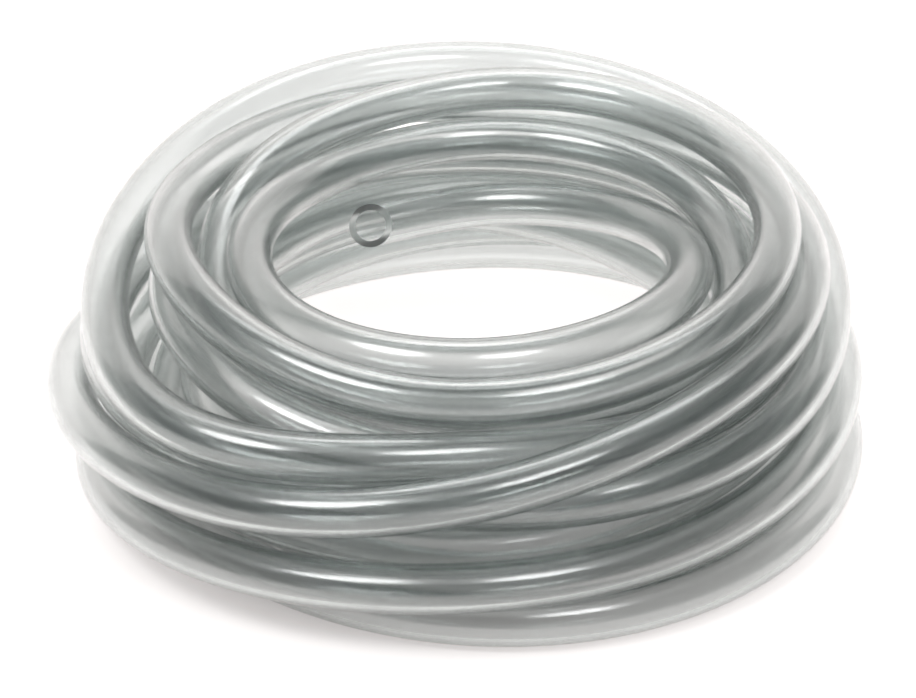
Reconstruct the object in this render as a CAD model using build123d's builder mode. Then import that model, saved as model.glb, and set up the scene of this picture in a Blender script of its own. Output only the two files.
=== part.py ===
"""Clear vinyl siphon hose, lying in a loose untied coil on a flat surface.

Millimetres. +Z is up, Z = 0 is the surface the coil lies on, and the origin is the
middle of the coil's footprint. The hose is one continuous tube: it starts at the
inner free end near the top, winds clockwise seen from above, and finishes at the
outer free end, which lies along the back of the coil (+Y), half way up.
"""
import math
import os

from build123d import *

HOSE_OD = 11.11          # 7/16 in
HOSE_ID = 7.94           # 5/16 in, pushes over a 3/8 in racking cane
ARC_SHARE = 0.45         # part of the shorter run that each corner's arc takes
EDGE_ROUND = 4.8         # rounding of a bundle of turns, a little under half a hose

# Bundles of turns that lie level, all round the origin: bottom, top, inner radius
# and outer radius.
LOWER_BUNDLES = [
    (0.0, 13.5, 77.0, 97.0),     # turns on the surface
    (10.5, 25.0, 67.5, 96.0),    # second and third layers
    (21.5, 33.5, 65.0, 97.5),    # widest turns, half way up
]
# Bundles that each lie a little askew: centre x, centre y, bottom, top, inner radius,
# outer radius, and how many degrees the bundle's plane rises towards the back.
UPPER_BUNDLES = [
    (1.0, 0.0, 26.0, 53.0, 67.5, 87.0, 2.5),     # upper outer turns
    (0.5, 4.0, 45.0, 62.5, 59.5, 84.5, 6.5),     # top outer turns
]
INNER_BUNDLES = [
    (5.0, -4.8, 44.0, 55.5, 52.5, 65.5, 6.4),    # second turn from the inner end
    (3.9, -4.3, 47.5, 61.0, 49.0, 61.0, 2.0),    # first turn from the inner end
]

# Routes of the two stretches that are not coiled, from their cut ends.
INNER_ROUTE = [
    (-22.0, 43.3, 41.0),
    (-1.5, 48.3, 41.5),
    (19.5, 46.8, 42.2),
    (38.5, 38.3, 43.0),
]
OUTER_ROUTE = [
    (71.3, 89.2, 39.3),
    (57.1, 92.0, 39.3),
    (42.6, 91.9, 39.3),
    (28.4, 88.9, 39.3),
]
# How far each of them goes on, straight, into the turns.
INNER_ROOT = 31.0
OUTER_ROOT = 40.0


def corner_radii(route):
    """One radius for each corner of a route, as large as its two runs allow."""
    points = [Vector(*p) for p in route]
    radii = []
    for before, corner, after in zip(points, points[1:], points[2:]):
        turn = (corner - before).get_angle(after - corner)
        shorter = min((corner - before).length, (after - corner).length)
        radii.append(ARC_SHARE * shorter / math.tan(math.radians(turn / 2)))
    return radii


def mouth_plane(route):
    """Plane across the hose at the cut end of a route, facing along the hose."""
    return Plane(origin=route[0], z_dir=Vector(*route[1]) - Vector(*route[0]))


def root_plane(route):
    """Plane across the hose at the other end, facing on into the turns."""
    return Plane(origin=route[-1], z_dir=Vector(*route[-1]) - Vector(*route[-2]))


def section_plane(x, y, height, rise):
    """Upright plane through a bundle's middle, square to the slope of its ring."""
    tilt = math.radians(rise)
    return Plane(
        origin=(x, y, height),
        x_dir=(1, 0, 0),
        z_dir=(0, -math.cos(tilt), -math.sin(tilt)),
    )


os.makedirs("parts", exist_ok=True)

# Inner free end: open hose, its mouth towards the left, just under the top turns.
with BuildPart() as inner_free_end:
    with BuildLine():
        inner_line = FilletPolyline(*INNER_ROUTE, radius=corner_radii(INNER_ROUTE))
    with BuildSketch(mouth_plane(INNER_ROUTE)):
        Circle(HOSE_OD / 2)
        Circle(HOSE_ID / 2, mode=Mode.SUBTRACT)
    sweep()
inner_free_end.part.label = "inner_free_end"

# Inner turns: the first two turns from the inner end, which lean over the opening.
with BuildPart() as inner_turns:
    for x, y, low, high, inner, outer, rise in INNER_BUNDLES:
        plane = section_plane(x, y, (low + high) / 2, rise)
        with BuildSketch(plane):
            with Locations(((inner + outer) / 2, 0)):
                RectangleRounded(outer - inner, high - low, EDGE_ROUND)
        revolve(axis=Axis(plane.origin, plane.y_dir))
    # The free end meets the flat end of this short root.
    with BuildSketch(root_plane(INNER_ROUTE)):
        Circle(HOSE_OD / 2)
    extrude(amount=INNER_ROOT)
inner_turns.part.label = "inner_turns"

# Lower turns: the level bundles.
with BuildPart() as lower_turns:
    with BuildSketch(Plane.XZ):
        for low, high, inner, outer in LOWER_BUNDLES:
            with Locations(((inner + outer) / 2, (low + high) / 2)):
                RectangleRounded(outer - inner, high - low, EDGE_ROUND)
    revolve(axis=Axis.Z)
lower_turns.part.label = "lower_turns"

# Upper turns: they lie on the lower turns and around the inner ones.
with BuildPart() as upper_turns:
    for x, y, low, high, inner, outer, rise in UPPER_BUNDLES:
        plane = section_plane(x, y, (low + high) / 2, rise)
        with BuildSketch(plane):
            with Locations(((inner + outer) / 2, 0)):
                RectangleRounded(outer - inner, high - low, EDGE_ROUND)
        revolve(axis=Axis(plane.origin, plane.y_dir))
    # The outer free end meets the flat end of this root.
    with BuildSketch(root_plane(OUTER_ROUTE)):
        Circle(HOSE_OD / 2)
    extrude(amount=OUTER_ROOT)
    add(lower_turns.part, mode=Mode.SUBTRACT)
    add(inner_turns.part, mode=Mode.SUBTRACT)
upper_turns.part.label = "upper_turns"

# Outer free end: open hose along the back, its mouth towards the right.
with BuildPart() as outer_free_end:
    with BuildLine():
        outer_line = FilletPolyline(*OUTER_ROUTE, radius=corner_radii(OUTER_ROUTE))
    with BuildSketch(mouth_plane(OUTER_ROUTE)):
        Circle(HOSE_OD / 2)
        Circle(HOSE_ID / 2, mode=Mode.SUBTRACT)
    sweep()
outer_free_end.part.label = "outer_free_end"

export_step(inner_free_end.part, "parts/inner_free_end.step")
export_step(inner_turns.part, "parts/inner_turns.step")
export_step(upper_turns.part, "parts/upper_turns.step")
export_step(lower_turns.part, "parts/lower_turns.step")
export_step(outer_free_end.part, "parts/outer_free_end.step")

for name, route, line in (
    ("inner", INNER_ROUTE, inner_line),
    ("outer", OUTER_ROUTE, outer_line),
):
    radii = ", ".join(f"{radius:.1f}" for radius in corner_radii(route))
    print(f"{name} free end: {line.length:.1f} mm long, arc radii {radii} mm")
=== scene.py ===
"""Clear vinyl siphon hose in a loose coil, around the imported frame.

Metres, in the frame's own axes. The hose is one continuous tube: it starts at the cut
end near the top of the coil, winds clockwise seen from above, and ends behind it.
"""
import math

import bpy
import numpy as np
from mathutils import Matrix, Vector


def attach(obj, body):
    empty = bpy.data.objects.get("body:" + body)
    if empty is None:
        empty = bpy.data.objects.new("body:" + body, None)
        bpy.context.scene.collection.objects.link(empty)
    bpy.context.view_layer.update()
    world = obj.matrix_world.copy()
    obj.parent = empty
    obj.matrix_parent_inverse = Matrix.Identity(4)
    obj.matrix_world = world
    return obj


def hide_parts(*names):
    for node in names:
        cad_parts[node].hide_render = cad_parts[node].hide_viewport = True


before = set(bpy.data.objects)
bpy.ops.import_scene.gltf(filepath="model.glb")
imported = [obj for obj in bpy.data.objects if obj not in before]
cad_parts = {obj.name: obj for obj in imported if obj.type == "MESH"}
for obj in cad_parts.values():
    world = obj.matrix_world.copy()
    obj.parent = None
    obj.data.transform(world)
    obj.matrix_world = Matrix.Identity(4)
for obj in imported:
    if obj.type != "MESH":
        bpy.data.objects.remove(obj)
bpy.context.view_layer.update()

HOSE_DIAMETER = 0.01111      # 7/16 in
BORE_DIAMETER = 0.00794      # 5/16 in
CAD_NODES = ("inner_free_end", "inner_turns", "upper_turns", "lower_turns", "outer_free_end")

COIL_MIDDLE_Y = -0.0067      # the turns wind around x = 0 and this y
POINTS_PER_TURN = 48
SIDES = 28                   # facets around the hose
CURVE_STEPS = 3              # points on the smooth line for each control point

# The two stretches that are not coiled. These are the CAD route's points, with the inner
# end's moved by a few millimetres.
INNER_END = [
    (-0.0225, 0.0432, 0.0375),
    (-0.0015, 0.0483, 0.0406),
    (0.0189, 0.0458, 0.0430),
    (0.0370, 0.0359, 0.0456),
]
OUTER_END = [
    (0.0284, 0.0889, 0.0393),
    (0.0426, 0.0919, 0.0393),
    (0.0571, 0.0920, 0.0393),
    (0.0713, 0.0892, 0.0393),
]

# How the turns lie: turn (0 is the back, clockwise from above), radius
# and height of the hose's middle in hose diameters, and how freely it may give way
# where another turn needs its room.
LIE = [
    # first turn, at the opening
    (0.15, 5.07, 4.24, 0.2), (0.19, 5.04, 4.38, 0.2), (0.24, 4.95, 4.62, 0.1),
    (0.375, 4.84, 4.95, 0.1), (0.50, 4.88, 4.95, 0.1), (0.625, 4.65, 4.97, 0.1),
    (0.75, 4.43, 5.15, 0.1), (0.865, 4.60, 5.15, 0.1), (0.96, 5.15, 5.10, 0.1),
    # second turn, under the first
    (1.03, 5.75, 5.10, 0.1), (1.085, 5.95, 5.05, 0.1), (1.15, 6.15, 4.92, 0.2),
    (1.25, 6.00, 4.20, 0.4),
    (1.50, 4.95, 3.95, 0.3), (1.75, 5.00, 4.30, 0.3), (1.82, 5.30, 5.00, 0.2),
    (1.894, 5.42, 5.60, 0.1), (1.968, 5.75, 5.95, 0.1),
    # third turn, the top one
    (2.04, 6.66, 6.03, 0.1), (2.125, 6.90, 5.97, 0.1), (2.25, 6.77, 5.60, 0.1),
    (2.50, 5.80, 4.55, 0.1), (2.75, 6.15, 5.55, 0.1), (2.82, 6.40, 5.45, 0.1),
    (2.89, 7.00, 5.40, 0.1), (2.95, 7.50, 5.35, 0.1),
    # fourth turn, down the front to the widest part at the left
    (3.00, 7.52, 5.25, 0.2), (3.27, 7.40, 4.70, 0.1), (3.33, 7.15, 4.40, 0.1),
    (3.40, 6.90, 4.00, 0.1), (3.46, 7.05, 3.60, 0.1), (3.50, 7.30, 3.40, 0.1),
    (3.565, 7.87, 3.05, 0.1), (3.65, 8.18, 2.68, 0.1), (3.75, 8.40, 2.25, 0.1),
    (3.85, 8.40, 1.90, 0.2),
    # fifth turn, down to the surface
    (4.00, 9.00, 2.40, 0.6), (4.25, 8.30, 2.20, 0.1), (4.31, 8.00, 1.90, 0.1),
    (4.37, 7.56, 1.60, 0.1), (4.425, 7.35, 1.50, 0.1), (4.50, 7.40, 1.50, 0.1),
    (4.575, 7.57, 1.30, 0.1), (4.65, 7.88, 1.00, 0.1), (4.75, 7.87, 0.55, 0.1),
    # sixth turn, on the surface
    (4.875, 7.90, 0.50, 0.2), (4.96, 8.60, 0.50, 0.1), (5.05, 9.35, 0.50, 0.1),
    (5.125, 9.10, 0.50, 0.1), (5.26, 8.39, 0.50, 0.1), (5.36, 7.91, 0.50, 0.1),
    (5.43, 7.60, 0.50, 0.1), (5.50, 7.15, 0.50, 0.1), (5.56, 6.72, 0.50, 0.2),
    (5.75, 6.70, 0.50, 0.8),
    # seventh and eighth turns, inside the ones below
    (5.875, 7.20, 1.10, 0.8), (5.97, 8.20, 1.40, 0.5), (6.05, 8.75, 1.50, 0.5),
    (6.125, 8.50, 1.50, 0.8), (6.25, 7.40, 1.40, 1.0), (6.50, 6.40, 1.30, 1.0),
    (6.75, 6.30, 1.30, 1.0), (6.90, 7.20, 2.00, 1.0), (7.00, 7.85, 2.20, 0.6),
    (7.05, 7.60, 2.10, 0.4), (7.115, 6.75, 2.00, 0.4), (7.25, 6.20, 1.95, 1.0),
    (7.50, 5.90, 2.10, 1.0), (7.75, 5.60, 2.10, 1.0),
    # ninth turn, half way up
    (8.00, 7.20, 3.00, 1.0), (8.25, 6.20, 2.90, 1.0), (8.50, 5.50, 3.05, 1.0),
    (8.62, 5.85, 3.80, 0.6), (8.72, 6.05, 4.20, 0.4), (8.85, 6.40, 4.20, 0.6),
    # tenth turn, up the left side to the highest point at the back
    (9.00, 7.00, 4.10, 1.0), (9.10, 6.75, 4.30, 0.5), (9.18, 6.75, 4.10, 0.5),
    (9.30, 6.85, 3.30, 1.0), (9.50, 6.50, 3.60, 0.6),
    (9.563, 7.10, 3.70, 0.2), (9.615, 8.05, 3.90, 0.1), (9.67, 7.80, 4.20, 0.1),
    (9.715, 7.48, 4.65, 0.1), (9.77, 7.22, 4.95, 0.1), (9.84, 7.36, 5.30, 0.1),
    (9.90, 7.70, 5.60, 0.1), (9.972, 8.30, 5.80, 0.1),
    # eleventh turn, down the right side
    (10.036, 8.50, 5.80, 0.1), (10.106, 8.50, 5.40, 0.1), (10.17, 8.43, 4.60, 0.1),
    (10.23, 8.00, 3.90, 0.1), (10.347, 7.47, 3.00, 0.1), (10.42, 6.90, 2.60, 0.2),
    (10.50, 6.30, 2.40, 0.6), (10.69, 7.50, 3.12, 0.4), (10.75, 7.65, 3.20, 0.6),
    # last turn, hidden among the others, up to where the outer end leaves
    (10.875, 7.90, 3.30, 1.0), (11.00, 8.00, 3.50, 1.0), (11.125, 7.70, 3.85, 1.0),
    (11.25, 7.40, 2.90, 1.0), (11.50, 6.60, 1.90, 1.0), (11.625, 6.80, 2.00, 1.0),
    (11.75, 7.50, 1.70, 1.0), (11.875, 7.70, 2.70, 1.0), (11.95, 8.05, 3.30, 0.6),
    (12.01, 8.55, 3.52, 0.1),
]
SOFTEN = 5                   # passes of smoothing along the turns
ROUNDS = 160                 # rounds of making room
SPREAD = 14                  # passes of smoothing on each move
STRIDE = 2.5                 # how far each smoothed move is carried
LEAST_GIVE = 0.05
TOUCHING = 1.02              # distance between the middles of touching turns, in diameters
ON_SURFACE = 0.5             # height of the middle of a turn that lies on the surface


def between(knots, turn):
    """The other columns at some turns, on a smooth line through unevenly spaced knots."""
    at, values = knots[:, 0], knots[:, 1:]
    step = np.diff(at)[:, None]
    slope = np.diff(values, axis=0) / step
    tangent = np.empty_like(values)
    tangent[1:-1] = (slope[1:] * step[:-1] + slope[:-1] * step[1:]) / (step[1:] + step[:-1])
    tangent[0], tangent[-1] = slope[0], slope[-1]
    i = np.clip(np.searchsorted(at, turn, side="right") - 1, 0, len(at) - 2)
    width = step[i]
    t = (turn - at[i])[:, None] / width
    return (
        (2 * t**3 - 3 * t**2 + 1) * values[i]
        + (t**3 - 2 * t**2 + t) * width * tangent[i]
        + (3 * t**2 - 2 * t**3) * values[i + 1]
        + (t**3 - t**2) * width * tangent[i + 1]
    )


def smoothed(values, passes):
    """Values along the hose, averaged with their neighbours; the ends stay."""
    values = values.copy()
    for _ in range(passes):
        values[1:-1] = (values[:-2] + 2 * values[1:-1] + values[2:]) / 4
    return values


def lie_of_the_turns():
    """Turn, radius and height along the coil, with room made between the turns."""
    knots = np.array(LIE)
    count = round((knots[-1, 0] - knots[0, 0]) * POINTS_PER_TURN)
    turn = knots[0, 0] + np.arange(count + 1) / POINTS_PER_TURN
    rows = between(knots, turn)
    lie = smoothed(rows[:, :2], SOFTEN)
    give = np.clip(rows[:, 2:], LEAST_GIVE, 1)
    shifts = range(POINTS_PER_TURN, count, POINTS_PER_TURN)
    for _ in range(ROUNDS):
        move = np.zeros_like(lie)
        pushes = np.ones((count + 1, 1))
        for shift in shifts:
            away = lie[shift:] - lie[:-shift]
            distance = np.linalg.norm(away, axis=1)[:, None]
            lack = np.clip(TOUCHING - distance, 0, None)
            push = away / np.maximum(distance, 1e-6) * lack
            share = give[shift:] / (give[shift:] + give[:-shift])
            move[shift:] += push * share
            move[:-shift] -= push * (1 - share)
            pushes[shift:] += lack > 0
            pushes[:-shift] += lack > 0
        move /= pushes
        move[0], move[-1] = 0, 0
        lie += STRIDE * smoothed(move, SPREAD)
        lie[:, 1] = np.maximum(lie[:, 1], ON_SURFACE)
    return turn, lie


def coil_points():
    """The coil's control points, a little outside the line that they give."""
    turn, lie = lie_of_the_turns()
    angle = np.pi / 2 - 2 * np.pi * turn
    radius = lie[:, 0] / math.cos(math.pi / POINTS_PER_TURN)
    points = np.stack([radius * np.cos(angle), radius * np.sin(angle), lie[:, 1]], axis=1)
    points *= HOSE_DIAMETER
    points[:, 1] += COIL_MIDDLE_Y
    return [tuple(p) for p in points]


def hose_line():
    """The hose's middle line: points read from one NURBS spline through the whole hose."""
    controls = INNER_END + coil_points() + OUTER_END
    curve = bpy.data.curves.new("hose_route", "CURVE")
    curve.dimensions = "3D"
    curve.resolution_u = CURVE_STEPS
    spline = curve.splines.new("NURBS")
    spline.points.add(len(controls) - 1)
    for point, place in zip(spline.points, controls):
        point.co = (*place, 1)
    spline.order_u = 3
    spline.use_endpoint_u = True
    holder = bpy.data.objects.new("hose_route", curve)
    line = bpy.data.meshes.new_from_object(holder)
    points = [v.co.copy() for v in line.vertices]
    bpy.data.objects.remove(holder)
    bpy.data.curves.remove(curve)
    bpy.data.meshes.remove(line)
    return points


def rings(line):
    """At each point of the line, its direction and two directions across the hose."""
    result = []
    side = Vector((0, 0, 1))
    for i, point in enumerate(line):
        ahead = line[min(i + 1, len(line) - 1)] - line[max(i - 1, 0)]
        ahead.normalize()
        side = side - ahead * side.dot(ahead)
        side.normalize()
        result.append((point, ahead, side, ahead.cross(side)))
    return result


# The inner end is cut askew: how far its face slopes, upwards and across the hose, and
# the length of hose over which the rings straighten up again.
CUT_UP = 0.45
CUT_ACROSS = 0.80
CUT_LENGTH = 2 * HOSE_DIAMETER


def hose_mesh(line):
    """Outer wall, bore and two cut ends, as one closed mesh with UVs along the hose."""
    frames = rings(line)
    runs = [0.0]
    for a, b in zip(line, line[1:]):
        runs.append(runs[-1] + (b - a).length)
    vertices = []
    for radius in (HOSE_DIAMETER / 2, BORE_DIAMETER / 2):
        for i, (point, ahead, side, across) in enumerate(frames):
            fade = max(0.0, 1 - runs[i] / CUT_LENGTH)
            for k in range(SIDES):
                turn = 2 * math.pi * k / SIDES
                out = side * math.cos(turn) + across * math.sin(turn)
                slope = CUT_UP * math.cos(turn) + CUT_ACROSS * math.sin(turn)
                vertices.append(point + out * radius + ahead * fade * radius * slope)
    bore = len(frames) * SIDES
    faces, uvs = [], []
    for i in range(len(frames) - 1):
        for k in range(SIDES):
            n = (k + 1) % SIDES
            a, b = i * SIDES, (i + 1) * SIDES
            around = (k / SIDES, (k + 1) / SIDES)
            faces.append((a + k, a + n, b + n, b + k))
            faces.append((bore + b + k, bore + b + n, bore + a + n, bore + a + k))
            near, far = runs[i], runs[i + 1]
            uvs += [(around[0], near), (around[1], near), (around[1], far), (around[0], far)]
            uvs += [(around[0], far), (around[1], far), (around[1], near), (around[0], near)]
    walls = len(faces)
    last = (len(frames) - 1) * SIDES
    for k in range(SIDES):
        n = (k + 1) % SIDES
        faces.append((k, bore + k, bore + n, n))
        faces.append((last + n, bore + last + n, bore + last + k, last + k))
        uvs += [(0, 0)] * 8
    mesh = bpy.data.meshes.new("siphon_hose")
    mesh.from_pydata([tuple(v) for v in vertices], [], faces)
    layer = mesh.uv_layers.new(name="along")
    for loop, uv in zip(layer.data, uvs):
        loop.uv = uv
    cut_faces = len(faces) - walls
    mesh.polygons.foreach_set("use_smooth", [True] * walls + [False] * cut_faces)
    mesh.polygons.foreach_set("material_index", [0] * walls + [1] * cut_faces)
    mesh.update()
    rims = {start + k for start in (0, last, bore, bore + last) for k in range(SIDES)}
    for edge in mesh.edges:
        if rims.issuperset(edge.vertices):
            edge.use_edge_sharp = True
    return mesh


def clear_vinyl():
    """Clear soft vinyl: a faint grey-green body, extrusion lines and a slightly dull skin."""
    material = bpy.data.materials.new("clear_vinyl")
    material.use_nodes = True
    nodes, links = material.node_tree.nodes, material.node_tree.links
    shader = nodes["Principled BSDF"]
    output = nodes["Material Output"]
    shader.inputs["Base Color"].default_value = (1.0, 1.0, 1.0, 1)
    shader.inputs["Transmission Weight"].default_value = 1.0
    shader.inputs["IOR"].default_value = 1.53
    shader.inputs["Coat Weight"].default_value = 1.0
    shader.inputs["Coat Roughness"].default_value = 0.27
    shader.inputs["Coat IOR"].default_value = 1.5

    coordinates = nodes.new("ShaderNodeTexCoord")
    stretch = nodes.new("ShaderNodeMapping")
    stretch.inputs["Scale"].default_value = (26.0, 18.0, 1.0)
    lines = nodes.new("ShaderNodeTexNoise")
    lines.inputs["Scale"].default_value = 1.0
    lines.inputs["Detail"].default_value = 3.0
    links.new(coordinates.outputs["UV"], stretch.inputs["Vector"])
    links.new(stretch.outputs["Vector"], lines.inputs["Vector"])

    skin = nodes.new("ShaderNodeTexNoise")
    skin.inputs["Scale"].default_value = 90.0
    skin.inputs["Detail"].default_value = 5.0
    links.new(coordinates.outputs["Object"], skin.inputs["Vector"])
    dull = nodes.new("ShaderNodeMapRange")
    dull.inputs["From Min"].default_value = 0.35
    dull.inputs["From Max"].default_value = 0.75
    dull.inputs["To Min"].default_value = 0.12
    dull.inputs["To Max"].default_value = 0.20
    links.new(skin.outputs["Fac"], dull.inputs["Value"])
    links.new(dull.outputs["Result"], shader.inputs["Roughness"])

    bump = nodes.new("ShaderNodeBump")
    bump.inputs["Strength"].default_value = 0.02
    bump.inputs["Distance"].default_value = 0.0006
    links.new(lines.outputs["Fac"], bump.inputs["Height"])
    links.new(bump.outputs["Normal"], shader.inputs["Normal"])

    body = nodes.new("ShaderNodeVolumeAbsorption")
    body.inputs["Color"].default_value = (0.655, 0.702, 0.690, 1)
    body.inputs["Density"].default_value = 280.0
    links.new(body.outputs["Volume"], output.inputs["Volume"])
    return material


def cut_vinyl():
    """The sawn faces of the two ends: the same vinyl, frosted by the cut."""
    material = bpy.data.materials.new("cut_vinyl")
    material.use_nodes = True
    nodes, links = material.node_tree.nodes, material.node_tree.links
    shader = nodes["Principled BSDF"]
    shader.inputs["Roughness"].default_value = 0.45
    shader.inputs["Transmission Weight"].default_value = 0.70
    shader.inputs["IOR"].default_value = 1.53
    place = nodes.new("ShaderNodeTexCoord")
    marks = nodes.new("ShaderNodeTexNoise")
    marks.inputs["Scale"].default_value = 900.0
    marks.inputs["Detail"].default_value = 4.0
    links.new(place.outputs["Object"], marks.inputs["Vector"])
    shades = nodes.new("ShaderNodeValToRGB")
    shades.color_ramp.elements[0].color = (0.70, 0.78, 0.76, 1)
    shades.color_ramp.elements[1].color = (0.92, 0.96, 0.94, 1)
    links.new(marks.outputs["Fac"], shades.inputs["Fac"])
    links.new(shades.outputs["Color"], shader.inputs["Base Color"])
    bump = nodes.new("ShaderNodeBump")
    bump.inputs["Strength"].default_value = 0.4
    bump.inputs["Distance"].default_value = 0.0004
    links.new(marks.outputs["Fac"], bump.inputs["Height"])
    links.new(bump.outputs["Normal"], shader.inputs["Normal"])
    return material


CAMERA_RISE = math.radians(29)
CAMERA_TARGET = Vector((0, COIL_MIDDLE_Y, 0.0289))
CAMERA_DISTANCE = 0.603


def camera():
    """Camera looking down on the coil from the front."""
    data = bpy.data.cameras.new("camera")
    data.sensor_width = 36.0
    data.lens = 98.25
    data.clip_start = 0.01
    data.clip_end = 50
    holder = bpy.data.objects.new("camera", data)
    bpy.context.collection.objects.link(holder)
    back = Vector((0, -math.cos(CAMERA_RISE), math.sin(CAMERA_RISE)))
    holder.location = CAMERA_TARGET + back * CAMERA_DISTANCE
    holder.rotation_euler = back.to_track_quat("Z", "Y").to_euler()
    bpy.context.scene.camera = holder


GLOW = 0.97                  # light that the open floor gives back by itself
SHADE = 0.25                 # the floor's glow lowered in a painted shadow under the front turns
FLOOR_FRONT = -2.0
FLOOR_BACK = 0.9             # here the floor starts to curve up
FLOOR_CURVE = 0.5
WALL_TOP = 2.5
HALF_WIDTH = 3.0


def stage():
    """Pale glowing floor that curves up into a backdrop, with a shadow painted into its glow
    under the front of the coil.
    """
    profile = [(FLOOR_FRONT, 0.0), (FLOOR_BACK, 0.0)]
    profile += [
        (FLOOR_BACK + FLOOR_CURVE * math.sin(a), FLOOR_CURVE - FLOOR_CURVE * math.cos(a))
        for a in (math.radians(10 * k) for k in range(1, 10))
    ]
    profile.append((FLOOR_BACK + FLOOR_CURVE, WALL_TOP))
    vertices = [(x, y, z) for y, z in profile for x in (-HALF_WIDTH, HALF_WIDTH)]
    faces = [(2 * i, 2 * i + 1, 2 * i + 3, 2 * i + 2) for i in range(len(profile) - 1)]
    mesh = bpy.data.meshes.new("backdrop")
    mesh.from_pydata(vertices, [], faces)
    mesh.polygons.foreach_set("use_smooth", [True] * len(faces))
    floor = bpy.data.objects.new("backdrop", mesh)
    bpy.context.collection.objects.link(floor)
    paper = bpy.data.materials.new("backdrop_paper")
    paper.use_nodes = True
    shader = paper.node_tree.nodes["Principled BSDF"]
    shader.inputs["Base Color"].default_value = (0.45, 0.45, 0.45, 1)
    shader.inputs["Roughness"].default_value = 0.9
    shader.inputs["Emission Color"].default_value = (1.0, 0.955, 0.94, 1)
    nodes, links = paper.node_tree.nodes, paper.node_tree.links
    # Painted shadow: an oval centred a little in front of the coil's middle, where the glow
    # falls from GLOW to SHADE.
    place = nodes.new("ShaderNodeTexCoord")
    oval = nodes.new("ShaderNodeMapping")
    oval.inputs["Location"].default_value = (0, 0.029, 0)
    oval.inputs["Scale"].default_value = (0.76, 1.0, 1.0)
    links.new(place.outputs["Object"], oval.inputs["Vector"])
    from_middle = nodes.new("ShaderNodeVectorMath")
    from_middle.operation = "LENGTH"
    links.new(oval.outputs["Vector"], from_middle.inputs[0])
    painted_shadow = nodes.new("ShaderNodeMapRange")
    painted_shadow.interpolation_type = "SMOOTHSTEP"
    painted_shadow.inputs["From Min"].default_value = 0.040
    painted_shadow.inputs["From Max"].default_value = 0.080
    painted_shadow.inputs["To Min"].default_value = SHADE
    painted_shadow.inputs["To Max"].default_value = GLOW
    links.new(from_middle.outputs["Value"], painted_shadow.inputs["Value"])
    links.new(painted_shadow.outputs["Result"], shader.inputs["Emission Strength"])
    mesh.materials.append(paper)


def softbox(name, place, aim, width, height, power):
    """Soft oval light at a place, turned towards a point."""
    data = bpy.data.lights.new(name, "AREA")
    data.shape = "ELLIPSE"
    data.size = width
    data.size_y = height
    data.energy = power
    lamp = bpy.data.objects.new(name, data)
    bpy.context.collection.objects.link(lamp)
    lamp.location = place
    lamp.rotation_euler = (Vector(aim) - Vector(place)).to_track_quat("-Z", "Y").to_euler()


def lights():
    """Two soft lights in front, one behind, and a dim cool surround."""
    softbox("front_left", (-0.52, -0.44, 1.10), (0, 0, 0), 0.60, 0.46, 7)
    softbox("front_right", (0.34, -0.62, 1.08), (0, 0, 0), 0.50, 0.36, 4)
    softbox("behind", (0, 0.50, 1.15), (0, 0, 0), 0.9, 0.30, 3.5)
    world = bpy.data.worlds.new("studio")
    world.use_nodes = True
    world.node_tree.nodes["Background"].inputs["Color"].default_value = (0.78, 0.85, 0.88, 1)
    world.node_tree.nodes["Background"].inputs["Strength"].default_value = 0.09
    bpy.context.scene.world = world


def render_settings():
    """Enough bounces for light to pass through many walls of the hose."""
    scene = bpy.context.scene
    scene.view_settings.view_transform = "Standard"
    scene.cycles.max_bounces = 24
    scene.cycles.transmission_bounces = 24
    scene.cycles.glossy_bounces = 6
    scene.cycles.caustics_refractive = True


camera()
line = hose_line()
mesh = hose_mesh(line)
hose = bpy.data.objects.new("siphon_hose", mesh)
bpy.context.collection.objects.link(hose)
mesh.materials.append(clear_vinyl())
mesh.materials.append(cut_vinyl())
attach(hose, "root")
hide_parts(*CAD_NODES)
stage()
lights()
render_settings()
